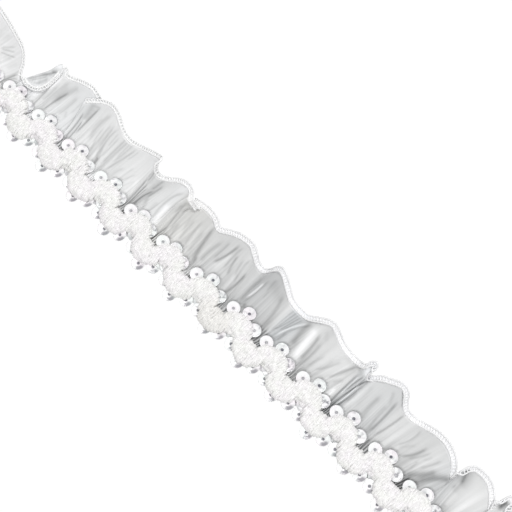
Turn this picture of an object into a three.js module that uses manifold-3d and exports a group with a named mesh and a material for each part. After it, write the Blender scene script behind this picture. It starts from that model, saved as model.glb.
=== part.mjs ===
// A cut length of ruffled ribbon trim, lying flat. A satin ribbon is gathered along one edge and
// overcast along the other, and a serpentine yarn braid is sewn over the gathers. Round spangles
// are held under the ends of the braid's yarns, so that they stand out of both its sides.
//
// Millimetres, +Z up. X runs along the trim, +Y points from the braid to the ruffle's free edge,
// and the trim rests on z = 0. Reach is measured across the trim from the middle of the braid.

import * as THREE from 'three';
import { mergeVertices } from 'three/addons/utils/BufferGeometryUtils.js';
import Module from 'manifold-3d';

const cutLength = 273;
const braidLine = -9.3;

const clothThickness = 1;
const hemThickness = 1.3;
const hemWidth = 2;
const rawEdgeReach = -0.7;
const gatherReach = 2;
const clothRows = 10;
const clothColumnSpacing = 2.1;

const lobePitch = 17.1;
const firstGap = -122.6;
const gapCount = 16;
const gapShare = 0.09;
const waistReach = 2.1;
const lobeRise = 4.1;
const braidColumnSpacing = 1.71;

const spangleRadius = 2.5;
const spangleThickness = 0.8;
const spangleSides = 11;

// The folds of the ruffle, one row for each crest, trough or steep side of its free edge. Head is
// the place along the gathers where the fold starts. Along, reach and lift give the place of its
// hem. Over is the fold line that the cloth passes on its way, where its edge is turned over.
const folds = [
  { head: -136.5, along: -136.5, reach: 25.5, lift: 3 },
  { head: -126, along: -122, reach: 23.3, lift: 6 },
  { head: -116, along: -108, reach: 19, lift: 8 },
  { head: -109, along: -102.5, reach: 14, lift: 5.8 },
  { head: -105.5, along: -98.5, reach: 11.5, lift: 7, over: { along: -99.5, reach: 13, lift: 5 } },
  { head: -101.5, along: -92.5, reach: 12, lift: 9, over: { along: -95.5, reach: 16, lift: 6 } },
  { head: -97, along: -89, reach: 17, lift: 9.5, over: { along: -92.5, reach: 20, lift: 6.5 } },
  { head: -93, along: -90, reach: 24, lift: 9 },
  { head: -90.5, along: -87, reach: 24.3, lift: 5.5 },
  { head: -87.5, along: -83.5, reach: 25, lift: 4.5 },
  { head: -81.5, along: -77.5, reach: 26.5, lift: 8 },
  { head: -72, along: -72.5, reach: 24.8, lift: 4 },
  { head: -65.5, along: -65, reach: 26.8, lift: 8.5 },
  { head: -57, along: -60.3, reach: 24.8, lift: 4.5 },
  { head: -53.5, along: -54, reach: 23.7, lift: 0.5 },
  { head: -48, along: -45, reach: 25.2, lift: 6 },
  { head: -43, along: -40, reach: 25.5, lift: 9 },
  { head: -38.5, along: -38.2, reach: 21.5, lift: 4.5 },
  { head: -36.8, along: -35.5, reach: 20.3, lift: 1.5 },
  { head: -35, along: -31, reach: 23.7, lift: 5 },
  { head: -31, along: -26, reach: 25.2, lift: 8.5 },
  { head: -25.5, along: -21.5, reach: 24, lift: 6.5 },
  { head: -20.5, along: -18, reach: 23.2, lift: 3 },
  { head: -15.5, along: -13, reach: 25, lift: 6 },
  { head: -10, along: -9.5, reach: 24.6, lift: 6 },
  { head: -5.5, along: -6.5, reach: 23.2, lift: 3 },
  { head: -2.5, along: 0.5, reach: 25.7, lift: 7 },
  { head: 3.5, along: 6, reach: 26.3, lift: 8.7 },
  { head: 11.5, along: 10, reach: 25, lift: 6 },
  { head: 14.5, along: 14, reach: 23.9, lift: 0.5 },
  { head: 16.8, along: 18, reach: 25.8, lift: 6 },
  { head: 18.5, along: 20.7, reach: 26.9, lift: 10 },
  { head: 27, along: 27, reach: 24.5, lift: 7 },
  { head: 31, along: 33.5, reach: 22.5, lift: 2.5 },
  { head: 33, along: 39, reach: 22.7, lift: 4.5 },
  { head: 40, along: 44, reach: 25.2, lift: 9 },
  { head: 46, along: 47.2, reach: 26, lift: 9.5 },
  { head: 49.5, along: 52, reach: 24.9, lift: 5 },
  { head: 52, along: 58.5, reach: 23.8, lift: 2.5 },
  { head: 57, along: 62.8, reach: 23.8, lift: 4.5 },
  { head: 63, along: 65.7, reach: 26, lift: 9 },
  { head: 65.7, along: 68.6, reach: 22.3, lift: 4 },
  { head: 68.2, along: 71.5, reach: 24.7, lift: 6.5 },
  { head: 75, along: 76.2, reach: 27.2, lift: 9.5 },
  { head: 80, along: 80, reach: 27.2, lift: 9.7 },
  { head: 82.3, along: 83.2, reach: 24.5, lift: 5.5 },
  { head: 84.8, along: 88, reach: 23.5, lift: 0.5 },
  { head: 90, along: 95, reach: 24.8, lift: 4.5 },
  { head: 95.5, along: 102, reach: 24.7, lift: 7.5 },
  { head: 99.5, along: 107.5, reach: 21.3, lift: 6 },
  { head: 103, along: 110.2, reach: 17, lift: 3 },
  { head: 106.5, along: 112.8, reach: 17.8, lift: 4 },
  { head: 109.8, along: 115, reach: 21, lift: 6.8 },
  { head: 113, along: 116.6, reach: 24.3, lift: 8.8 },
  { head: 115.7, along: 119.5, reach: 25, lift: 9.2 },
  { head: 117.5, along: 123.8, reach: 22.5, lift: 6 },
  { head: 121, along: 126.8, reach: 18.6, lift: 2.5 },
  { head: 124.3, along: 128.8, reach: 20, lift: 4.3 },
  { head: 127.2, along: 130, reach: 23.3, lift: 7.3 },
  { head: 130.2, along: 132, reach: 24, lift: 7.8 },
  { head: 133, along: 134.2, reach: 22.5, lift: 4 },
  { head: 136.5, along: 136.5, reach: 23, lift: 2.5 },
];

// How far each gap between the braid's upper lobes stands off the even pitch.
const gapWander = [0, 0, -0.1, -0.2, 0, 0, -0.2, -0.5, 0.4, -0.6, 0.2, 0, 0.1, -0.1, 0, 0];

// The braid's section, from its lower edge to its upper one, along its underside and its top. It
// stands on its foot and steps over the gathers. Reach is measured from the edge that is named, or
// from the braid's middle. The heights at the upper edge also rise with how far that edge reaches.
const lobeSlope = 0.1;
const footStepReach = -1.1;
const braidUnderside = [
  { from: 'lower', reach: 0.3, height: 0 },
  { from: 'middle', reach: footStepReach, height: 0 },
  { from: 'middle', reach: footStepReach, height: 1.5 },
  { from: 'upper', reach: -0.7, height: 1.6 },
  { from: 'upper', reach: 0, height: 2.2 },
];
const braidTop = [
  { from: 'lower', reach: 0, height: 1.1 },
  { from: 'lower', reach: 1.1, height: 2.5 },
  { from: 'middle', reach: 0, height: 3.6 },
  { from: 'upper', reach: -1.1, height: 3.5 },
  { from: 'upper', reach: 0, height: 2.7 },
];

// The spangles of one upper and one lower lobe, and the one whose rim shows under an upper lobe.
// Along is measured from the lobe's middle, and base is the height of the spangle's underside.
const upperSpangles = [
  { along: -5.5, reach: 5.2, base: 2.8 },
  { along: 0, reach: 7.4, base: 3 },
  { along: 5.5, reach: 4.8, base: 2.8 },
  { along: 0, reach: -0.9, base: 1.6 },
];
const lowerSpangles = [
  { along: -5.1, reach: -4.3, base: 0.4 },
  { along: 0, reach: -6.7, base: 0 },
  { along: 5.1, reach: -4.6, base: 0.4 },
];

// Corners nearer to each other than this are one corner.
const weldDistance = 1e-4;

const wasm = await Module();
wasm.setup();

// A slab with many columns and rows, bent by place(column, row, side) into its final shape.
// Side is 0 on the slab's underside and 1 on its top.
function bentSlab(columns, rows, place) {
  const slab = new THREE.BoxGeometry(1, 1, 1, columns, rows, 1);
  slab.deleteAttribute('normal');
  slab.deleteAttribute('uv');
  const bent = mergeVertices(slab, weldDistance);
  const points = bent.getAttribute('position');
  for (let i = 0; i < points.count; i += 1) {
    const column = Math.round((points.getX(i) + 0.5) * columns);
    const row = Math.round((points.getY(i) + 0.5) * rows);
    const side = points.getZ(i) > 0 ? 1 : 0;
    const spot = place(column, row, side);
    points.setXYZ(i, spot.x, spot.y, spot.z);
  }
  return bent;
}

// A fold's section runs from the gathers to the hem on a cubic curve: flat at first, then rising.
const restLift = clothThickness / 2;
const riseShare = 0.35;
const riseLift = 0.03;
const bendShare = 0.7;
const bendLift = 0.36;
const turnedRiseShare = 0.6;
const foldLineShare = 2 / 3;
const bendWeight = 3 * foldLineShare ** 2 * (1 - foldLineShare);

function foldSection(fold) {
  const start = new THREE.Vector3(fold.head, braidLine + gatherReach, restLift);
  const hem = new THREE.Vector3(fold.along, braidLine + fold.reach, fold.lift);
  const rise = start.clone().lerp(hem, riseShare);
  rise.z = restLift + riseLift * (fold.lift - restLift);
  const bend = start.clone().lerp(hem, bendShare);
  bend.z = restLift + bendLift * (fold.lift - restLift);
  if (fold.over) {
    // The cloth stays low for longer, and the bend is moved until the curve passes through the
    // fold line.
    const line = new THREE.Vector3(fold.over.along, braidLine + fold.over.reach, fold.over.lift);
    rise.lerpVectors(start, line, turnedRiseShare);
    rise.z = restLift;
    const curve = new THREE.CubicBezierCurve3(start, rise, bend, hem);
    const passed = curve.getPoint(foldLineShare);
    bend.add(line.sub(passed).divideScalar(bendWeight));
  }
  return { start, rise, bend, hem };
}

const sections = folds.map(foldSection);
const edgeLine = (name) => (
  new THREE.CatmullRomCurve3(sections.map((section) => section[name]), false, 'centripetal')
);
const startLine = edgeLine('start');
const riseLine = edgeLine('rise');
const bendLine = edgeLine('bend');
const hemLine = edgeLine('hem');

// The columns of the cloth stand evenly along the hem, between the rows of the fold table.
function clothStations() {
  const stations = [];
  for (let k = 0; k + 1 < sections.length; k += 1) {
    const span = sections[k].hem.distanceTo(sections[k + 1].hem);
    const steps = Math.max(2, Math.round(span / clothColumnSpacing));
    for (let m = 0; m < steps; m += 1) {
      stations.push((k + m / steps) / (sections.length - 1));
    }
  }
  stations.push(1);
  return stations;
}

// The middle of the cloth's thickness, at a station along the folds and a share of the way out.
function clothMiddle(station, share) {
  const curve = new THREE.CubicBezierCurve3(
    startLine.getPoint(station),
    riseLine.getPoint(station),
    bendLine.getPoint(station),
    hemLine.getPoint(station),
  );
  const spot = curve.getPoint(share);
  spot.z = Math.max(spot.z, restLift);
  return spot;
}

// The cloth's direction is taken over a step long enough to even out its sharpest turns.
function clothNormal(station, share) {
  const step = 0.011;
  const along = clothMiddle(Math.min(station + step, 1), share)
    .sub(clothMiddle(Math.max(station - step, 0), share));
  const across = clothMiddle(station, Math.min(share + step, 1))
    .sub(clothMiddle(station, Math.max(share - step, 0)));
  return along.cross(across).normalize();
}

function ruffleGeometry() {
  const stations = clothStations();
  const hemShare = 1 - hemWidth / (folds[0].reach - gatherReach);
  const freeRows = clothRows - 1;
  return bentSlab(stations.length - 1, clothRows, (column, row, side) => {
    const station = stations[column];
    if (row === 0) {
      const head = startLine.getPoint(station);
      return new THREE.Vector3(head.x, braidLine + rawEdgeReach, side * clothThickness);
    }
    const share = (row - 1) / freeRows;
    const half = (share > hemShare ? hemThickness : clothThickness) / 2;
    const spot = clothMiddle(station, share);
    const normal = row === 1 ? new THREE.Vector3(0, 0, 1) : clothNormal(station, share);
    spot.addScaledVector(normal, side === 1 ? half : -half);
    spot.x = THREE.MathUtils.clamp(spot.x, -cutLength / 2, cutLength / 2);
    spot.z = Math.max(spot.z, 0);
    return spot;
  });
}

const gaps = gapWander.map((wander, k) => firstGap + k * lobePitch + wander);

// How far a place is on its way from one gap to the next, from 0 at a gap to 1 at the next one.
function lobeShare(along) {
  let k = Math.floor((along - firstGap) / lobePitch);
  if (k >= 0 && k < gapCount && along < gaps[k]) k -= 1;
  if (k + 1 >= 0 && k + 1 < gapCount && along > gaps[k + 1]) k += 1;
  const from = gaps[k] ?? firstGap + k * lobePitch;
  const to = gaps[k + 1] ?? firstGap + (k + 1) * lobePitch;
  return (along - from) / (to - from);
}

// A lobe's round outline: 0 in the narrow gaps beside it and 1 at its top.
function lobeDome(share) {
  const inside = (share - gapShare) / (1 - 2 * gapShare);
  if (inside <= 0 || inside >= 1) return 0;
  return Math.sqrt(Math.sin(Math.PI * inside));
}

function braidGeometry() {
  const columns = Math.round(cutLength / braidColumnSpacing);
  return bentSlab(columns, braidTop.length - 1, (column, row, side) => {
    const along = -cutLength / 2 + (cutLength * column) / columns;
    const share = lobeShare(along);
    const upper = waistReach + lobeRise * lobeDome(share);
    const lower = -waistReach - lobeRise * lobeDome((share + 0.5) % 1);
    const edges = { lower, middle: 0, upper };
    const { from, reach, height } = (side === 1 ? braidTop : braidUnderside)[row];
    const rise = from === 'upper' ? lobeSlope * upper : 0;
    return new THREE.Vector3(along, braidLine + edges[from] + reach, height + rise);
  });
}

function spangleGeometry(along, reach, base) {
  const disc = new THREE.CylinderGeometry(
    spangleRadius,
    spangleRadius,
    spangleThickness,
    spangleSides,
  );
  disc.rotateX(Math.PI / 2);
  disc.translate(along, braidLine + reach, base + spangleThickness / 2);
  return disc;
}

function toSolid(geometry) {
  const bare = geometry.clone();
  bare.deleteAttribute('normal');
  bare.deleteAttribute('uv');
  const closed = mergeVertices(bare, weldDistance);
  return new wasm.Manifold(new wasm.Mesh({
    numProp: 3,
    vertProperties: new Float32Array(closed.getAttribute('position').array),
    triVerts: new Uint32Array(closed.index.array),
  }));
}

function toGeometry(solid) {
  const mesh = solid.getMesh();
  const geometry = new THREE.BufferGeometry();
  geometry.setAttribute('position', new THREE.BufferAttribute(mesh.vertProperties, 3));
  geometry.setIndex(new THREE.BufferAttribute(mesh.triVerts, 1));
  return geometry;
}

// The spangles are caught in the yarn, so they are joined to the braid.
function spangledBraidGeometry() {
  let braid = toSolid(braidGeometry());
  const lastSpangle = cutLength / 2 - spangleRadius;
  const addSpangles = (middle, spangles) => {
    for (const { along, reach, base } of spangles) {
      if (Math.abs(middle + along) > lastSpangle) continue;
      braid = braid.add(toSolid(spangleGeometry(middle + along, reach, base)));
    }
  };
  gaps.forEach((gap, k) => {
    const previous = gaps[k - 1] ?? gap - lobePitch;
    addSpangles((previous + gap) / 2, upperSpangles);
    addSpangles(gap, lowerSpangles);
  });
  return toGeometry(braid);
}

const satin = new THREE.MeshStandardMaterial({ color: 0xe4e4e6, roughness: 0.38, metalness: 0 });
const yarn = new THREE.MeshStandardMaterial({ color: 0xf2efe9, roughness: 0.9, metalness: 0 });

const ruffle = new THREE.Mesh(ruffleGeometry(), satin);
ruffle.name = 'ruffle';

const braid = new THREE.Mesh(spangledBraidGeometry(), yarn);
braid.name = 'spangled_braid';

const group = new THREE.Group();
group.add(ruffle, braid);

export default group;
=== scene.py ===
import math

import bmesh
import bpy
import numpy as np
from mathutils import Matrix, Vector, noise


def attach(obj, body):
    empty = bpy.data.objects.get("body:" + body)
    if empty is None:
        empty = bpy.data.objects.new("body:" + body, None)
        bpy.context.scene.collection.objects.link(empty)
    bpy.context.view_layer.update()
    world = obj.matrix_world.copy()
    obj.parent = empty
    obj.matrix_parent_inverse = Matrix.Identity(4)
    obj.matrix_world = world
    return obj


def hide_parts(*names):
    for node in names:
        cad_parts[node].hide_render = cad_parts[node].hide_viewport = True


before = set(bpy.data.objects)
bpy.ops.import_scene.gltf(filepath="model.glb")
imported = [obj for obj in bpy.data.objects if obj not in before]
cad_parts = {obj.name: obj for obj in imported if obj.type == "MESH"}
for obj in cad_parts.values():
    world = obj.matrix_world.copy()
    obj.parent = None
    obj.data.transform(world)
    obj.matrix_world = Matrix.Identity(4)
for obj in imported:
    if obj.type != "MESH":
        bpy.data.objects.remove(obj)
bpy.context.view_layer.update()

# The studio. The trim lies on a pale table in a pale room, under a wide soft light from the
# picture's top and a weaker one from its bottom. The camera looks almost straight down, with the
# trim running across from corner to corner.
mm = 0.001
trim_length = 273.0
braid_line = -9.3
camera_turn = math.radians(45.335)
camera_tilt = math.radians(15)
camera_distance = 358.1
aim_along, aim_reach = 9.0, 25.0
looked_at = Vector((aim_along, aim_reach + braid_line, 0)) * mm
picture_up = Vector((-math.sin(camera_turn), math.cos(camera_turn), 0))
away = Vector((0, 0, math.cos(camera_tilt))) - picture_up * math.sin(camera_tilt)
room_strength = 0.54
table_radius = 2.5
table_glow = 1.03
overexposure = 0.97


def put_in_scene(name, data):
    """Makes an object of its data and puts it into the scene."""
    thing = bpy.data.objects.new(name, data)
    bpy.context.scene.collection.objects.link(thing)
    return thing


camera = put_in_scene("camera", bpy.data.cameras.new("camera"))
camera.data.lens = 70
camera.data.sensor_width = 36
camera.data.clip_start = 0.01
camera.location = looked_at + away * camera_distance * mm
camera.rotation_euler = (camera_tilt, 0, camera_turn)
bpy.context.scene.camera = camera
bpy.context.scene.view_settings.view_transform = "Standard"
bpy.context.scene.view_settings.look = "None"

world = bpy.data.worlds.new("pale_room")
bpy.context.scene.world = world
world.use_nodes = True


def set_inputs(node, values):
    """Sets a node's own sockets to plain values."""
    for socket, value in values.items():
        node.inputs[socket].default_value = value


set_inputs(world.node_tree.nodes["Background"], {"Color": (1, 1, 1, 1), "Strength": room_strength})


def soft_light(name, place, size, watts):
    """A round soft light at a place in metres, turned to the trim."""
    light = put_in_scene(name, bpy.data.lights.new(name, "AREA"))
    light.data.shape = "DISK"
    light.data.size = size
    light.data.energy = watts
    light.location = place
    light.rotation_euler = (looked_at - Vector(place)).to_track_quat("-Z", "Y").to_euler()


soft_light("softbox", (-0.25, 0.8, 1.6), 0.8, 15)
soft_light("fill_light", (0.6, -0.6, 0.8), 0.9, 4)


def new_finish(name, values):
    """A material with plain values on its shader, and its nodes, links and shader."""
    finish = bpy.data.materials.new(name)
    finish.use_nodes = True
    nodes = finish.node_tree.nodes
    set_inputs(nodes["Principled BSDF"], values)
    return finish, nodes, finish.node_tree.links, nodes["Principled BSDF"]


def finished_mesh(name, shape):
    """The mesh of a shape that is done."""
    data = bpy.data.meshes.new(name)
    shape.to_mesh(data)
    shape.free()
    return data


floor_shape = bmesh.new()
bmesh.ops.create_circle(floor_shape, cap_ends=True, segments=64, radius=table_radius)
floor = put_in_scene("floor", finished_mesh("floor", floor_shape))
table_paint, nodes, links, shader = new_finish(
    "table_paint", {"Base Color": (0.8, 0.8, 0.8, 1), "Roughness": 0.9, "Specular IOR Level": 0}
)
# Most of what the camera sees of the table is a plain glow, for it is overexposed.
floor_glow = nodes.new("ShaderNodeEmission")
set_inputs(floor_glow, {"Strength": table_glow})
light_path = nodes.new("ShaderNodeLightPath")
overexposed = nodes.new("ShaderNodeMath")
overexposed.operation = "MULTIPLY"
set_inputs(overexposed, {1: overexposure})
floor_mix = nodes.new("ShaderNodeMixShader")
links.new(light_path.outputs["Is Camera Ray"], overexposed.inputs[0])
links.new(overexposed.outputs[0], floor_mix.inputs["Fac"])
links.new(shader.outputs["BSDF"], floor_mix.inputs[1])
links.new(floor_glow.outputs["Emission"], floor_mix.inputs[2])
links.new(floor_mix.outputs["Shader"], nodes["Material Output"].inputs["Surface"])
floor.data.materials.append(table_paint)


# The ruffle. One length of white satin ribbon, gathered along its inner edge under the braid and
# free along the other, where it has been pressed into uneven folds. Places are in mm: along the
# trim, reach out from the braid's middle line, and lift off the table.
cut_width = 26.0
cloth_thickness = 0.14
head_reach = 2.0
raw_edge_reach = -0.7
rest_lift = 0.5
lowest_lift = 0.3
hem_width = 2.3
brightest_tone = 1.4

# Each row is one fold: head is where it starts on the gathers, and along, reach and lift are the
# place of its edge. Rows with a fold line pass over it on the way, where a corner is turned over
# or a fold laps over the next one. Its along, reach and lift stand at the end of the row.
folds = [
    # head, along, reach, lift
    (-136.5, -136.5, 25.6, 4),
    (-127.6, -123.7, 23.3, 6),
    (-121.8, -114.5, 21, 7.5),
    (-115.3, -106.5, 18.3, 8),
    (-110.8, -102.8, 14.5, 6.5),
    (-107.6, -101.6, 11.4, 4.2),
    (-105.6, -99.4, 9.6, 2.6, -100, 11, 3),
    (-103.6, -96.4, 9.6, 2.3, -98.6, 13.8, 3.4),
    (-101.6, -93.6, 10.8, 2.3, -97.3, 16.1, 3.8),
    (-99.6, -91.7, 13.5, 2.6, -96.1, 18.3, 4.2),
    (-97.5, -91, 17.3, 3.3, -95, 20.8, 4.7),
    (-95.3, -90.9, 21, 4.2, -94.2, 23.8, 5.2),
    (-93.6, -91.8, 24.9, 5.2),
    (-92.2, -90.9, 25.3, 5),
    (-90.6, -89.4, 23.9, 4.6),
    (-88.6, -86.7, 24.7, 4.5),
    (-86.3, -82.4, 25.8, 6.5),
    (-81.5, -77.6, 26.5, 8),
    (-76.4, -74.5, 26.2, 7),
    (-74.2, -73, 25.6, 5.5),
    (-73.2, -76.9, 21.4, 6),
    (-72.4, -74.9, 23.3, 6.2),
    (-71.4, -71.9, 25.4, 7),
    (-69.9, -68.8, 26.7, 7.8),
    (-66.2, -65.5, 26.8, 8.5),
    (-60.4, -62.8, 26.2, 7),
    (-57, -60.4, 24.9, 4.8),
    (-55.4, -57.8, 23.9, 2.5),
    (-54, -54.7, 23.7, 1.5),
    (-52.3, -49.9, 24.4, 3),
    (-48.5, -44.7, 25.2, 6),
    (-44, -40.6, 25.6, 8.5),
    (-41, -38.9, 25.5, 9.2),
    (-39.6, -38.9, 23.3, 7.5),
    (-38.5, -38.4, 21.8, 5),
    (-37.2, -36.6, 21.7, 2.6),
    (-36.2, -33.3, 23, 3.7),
    (-34.8, -30, 24.7, 6),
    (-31.4, -26.8, 25.5, 8.3),
    (-28.6, -24.2, 25.5, 8.6),
    (-26, -22.2, 24.8, 8.2),
    (-24.6, -21.2, 23.6, 7.4, -24, 17, 4.8),
    (-23.6, -20.1, 22.5, 6.4, -23.1, 17, 4),
    (-22.8, -18.5, 22.4, 5, -22.3, 17, 3.2),
    (-22, -17, 22.3, 3.9, -21.5, 17, 2.6),
    (-21.4, -18.3, 23.4, 3.3, -20.9, 17, 2.2),
    (-20.8, -21.2, 24.4, 2.9, -20.2, 17.4, 2),
    (-19.4, -18.6, 25, 3.3),
    (-15.5, -13.2, 25.1, 5.2),
    (-9.9, -9.3, 24.3, 5.6),
    (-6.2, -7, 23.1, 3.2),
    (-4, -3.5, 24.6, 4.7),
    (-1.8, 0.5, 25.8, 7),
    (1.8, 4.5, 26.3, 8.5),
    (7.3, 7.3, 26.2, 8.5),
    (11.4, 9.8, 25.1, 6.5),
    (13.4, 12, 23.9, 3.5),
    (14.7, 14.8, 23.8, 1.6),
    (15.9, 16.9, 24.9, 3.8),
    (17, 18.4, 26.3, 7.5),
    (18.4, 20.7, 27, 10),
    (21.6, 23.4, 26.2, 9.6),
    (26.9, 26.9, 24.5, 7),
    (29.8, 30.3, 22.9, 4),
    (31.2, 34.4, 22.5, 3),
    (32.8, 38.3, 22.5, 4.5),
    (35.4, 41.4, 24, 7),
    (40.3, 44.3, 25.4, 9),
    (46.2, 47.1, 26.1, 9.5),
    (48.2, 49.8, 25.6, 7.2),
    (49.6, 53, 24.6, 4.8),
    (51, 56.3, 24, 3.2),
    (53.4, 60.3, 23.8, 3),
    (57, 62, 23.8, 3.6),
    (59.8, 64.1, 23.8, 6),
    (62, 64.8, 25.6, 8),
    (63.2, 66.2, 26.5, 8.8),
    (64.2, 67.6, 25.9, 8.4),
    (64.9, 67.7, 24.4, 7.2),
    (65.5, 67.2, 23.2, 5.4),
    (66.2, 67.9, 22.3, 4),
    (67, 69, 23.4, 4.8),
    (68.3, 70.9, 24.9, 6.8),
    (71.2, 73.8, 26.2, 8.2),
    (74.9, 76.4, 27.2, 9.6),
    (78.4, 78.8, 27.5, 10),
    (80.9, 81.2, 26.7, 8.8),
    (82, 82.9, 24.9, 6),
    (83, 85, 23.5, 3.5),
    (84.8, 88.3, 23.5, 1.6),
    (87.4, 92.4, 24.3, 2.6),
    (90.9, 95.9, 24.9, 5),
    (94.3, 100.2, 24.9, 7),
    (97.2, 104.1, 23.9, 7.5),
    (99.2, 107.3, 22.4, 6.5),
    (101.2, 109.4, 20.8, 5),
    (104, 111, 19, 4),
    (107.5, 111.9, 17.8, 4),
    (110.8, 111.3, 19.8, 6),
    (112.6, 111.2, 21.4, 7.6),
    (113.6, 111.7, 22.9, 8.8),
    (114.5, 112.9, 24.3, 9.6),
    (115.6, 115.3, 25, 10),
    (116.7, 119.8, 24.9, 9),
    (117.9, 123.3, 23.3, 7),
    (119.3, 126.2, 20.9, 5),
    (121.1, 128.4, 18.5, 3),
    (123.8, 127.2, 22.3, 6.6),
    (126.2, 128, 25.8, 8.6),
    (128.5, 130.3, 25.6, 8.8),
    (130.5, 131.4, 22.4, 7.4),
    (132.6, 132.6, 20.8, 5),
    (136.5, 136.5, 23, 3),
]


def step_lengths(points):
    """The distance from each point to the next."""
    return np.linalg.norm(np.diff(points, axis=0), axis=1)


def run_at(steps):
    """The distance run at the start and after each step."""
    return np.concatenate([[0], np.cumsum(steps)])


def through(points, places):
    """The smooth line through the rows' points, at places counted in rows."""
    points = np.asarray(points, float)
    padded = np.vstack([2 * points[0] - points[1], points, 2 * points[-1] - points[-2]])
    steps = np.maximum(step_lengths(padded), 1e-6) ** 0.5
    row = np.clip(np.floor(places).astype(int), 0, len(points) - 2)
    t = (places - row)[:, None]
    p0, p1, p2, p3 = (padded[row + k] for k in range(4))
    d0, d1, d2 = (steps[row + k][:, None] for k in range(3))
    m1 = ((p1 - p0) / d0 - (p2 - p0) / (d0 + d1) + (p2 - p1) / d1) * d1
    m2 = ((p2 - p1) / d1 - (p3 - p1) / (d1 + d2) + (p3 - p2) / d2) * d1
    return (
        (2 * t**3 - 3 * t**2 + 1) * p1
        + (t**3 - 2 * t**2 + t) * m1
        + (3 * t**2 - 2 * t**3) * p2
        + (t**3 - t**2) * m2
    )


def fold_section(fold):
    """The four guide points of one fold's cross-section, from the gathers out to the edge."""
    start = np.array([fold[0], head_reach, rest_lift])
    edge = np.array(fold[1:4], float)
    rise = start + 0.35 * (edge - start)
    rise[2] = rest_lift + 0.05 * (edge[2] - rest_lift)
    bend = start + 0.7 * (edge - start)
    bend[2] = rest_lift + 0.4 * (edge[2] - rest_lift)
    if len(fold) > 4:
        line = np.array(fold[4:7], float)
        rise = start + 0.6 * (line - start)
        rise[2] = rest_lift
        # The bend moves so that the section passes over the fold line two thirds of the way out.
        passed = start / 27 + rise * 6 / 27 + bend * 12 / 27 + edge * 8 / 27
        bend = bend + (line - passed) * 9 / 4
    return start, rise, bend, edge


sections = np.array([fold_section(fold) for fold in folds])

# The columns of cloth stand closest together where the gathers show in the gaps between the
# braid's lobes.
lobe_pitch = 17.1
first_gap = -122.6
gap_half_width = 2.6
gap_column = 0.15
plain_column = 0.66
edge_column = 1.0
gap_wander = [0, 0.5, 0.7, 0.3, 0, 0.6, -0.2, 0, 0.4, 0.1, 0.4, 0, 0.1, 0, 0, 0]
gaps = np.array([first_gap + k * lobe_pitch + w for k, w in enumerate(gap_wander)])
fine_places = np.linspace(0, len(folds) - 1, 20001)
fine_edge = through(sections[:, 3], fine_places)
fine_head = through(sections[:, 0], fine_places)
to_gap = np.abs(fine_head[:, :1] - gaps[None, :]).min(axis=1)
wanted = np.where(to_gap < gap_half_width, 1 / gap_column, 1 / plain_column)
head_step = np.abs(np.diff(fine_head[:, 0]))
edge_step = step_lengths(fine_edge)
column_count = run_at(head_step * wanted[1:] + edge_step / edge_column)
cloth_columns = int(column_count[-1])
stations = np.interp(np.linspace(0, column_count[-1], cloth_columns + 1), column_count, fine_places)
column_run = np.interp(stations, fine_places, run_at(edge_step))

cloth_rows = 38
row_share = np.linspace(0, 1, cloth_rows) ** 0.9
guide = [through(sections[:, k], stations) for k in range(4)]


def cloth_at(share):
    """Every column's point at a share of the way out."""
    return (
        (1 - share) ** 3 * guide[0]
        + 3 * share * (1 - share) ** 2 * guide[1]
        + 3 * share**2 * (1 - share) * guide[2]
        + share**3 * guide[3]
    )


cloth = np.array([cloth_at(share) for share in row_share])
cloth_reach = cloth[:, :, 1]

# The gathers: sharp little pleats at the stitching that spread out and fade on their way.
fine_pleat_pitch = 0.92
fine_pleat_height = 1.0
wide_pleat_pitch = 2.6
wide_pleat_height = 0.3
head_run = guide[0][:, 0]
chance = np.random.default_rng(7)


def wander(run, step, spread):
    """A smooth unevenness along the trim."""
    knots = np.arange(-160, 160, step)
    return np.interp(run, knots, chance.normal(0, spread, len(knots)))


fine_wave = head_run / fine_pleat_pitch + wander(head_run, 2.2, 0.35)
fine_pleat = np.abs(np.sin(np.pi * fine_wave)) ** 0.7
wide_wave = head_run / wide_pleat_pitch + wander(head_run, 5, 0.4)
wide_pleat = np.abs(np.sin(np.pi * wide_wave)) ** 0.8
out = np.maximum(cloth_reach - head_reach, 0)
fine_height = fine_pleat_height * np.exp(-out / 2.8) * fine_pleat[None, :]
wide_height = wide_pleat_height * np.exp(-((out - 3) ** 2) / 60) * wide_pleat[None, :]
cloth[:, :, 2] += fine_height + wide_height
# The tone is how light each point of the satin is, as painted light and shade: 1 where it is plain,
# less in painted shade and more in painted light. Painted shade first darkens the valleys between the
# pleats near the gathers.
tone = 1 - 0.35 * np.exp(-out / 2.6) * (1 - fine_pleat[None, :])

# Faint streaks of painted sheen and shade run with the pleats, strongest half way out.
sheen_streak = wander(head_run, 0.33, 0.075) + wander(head_run, 0.9, 0.06)
tone += sheen_streak[None, :] * np.exp(-(((out - 8) / 10) ** 2))
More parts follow.
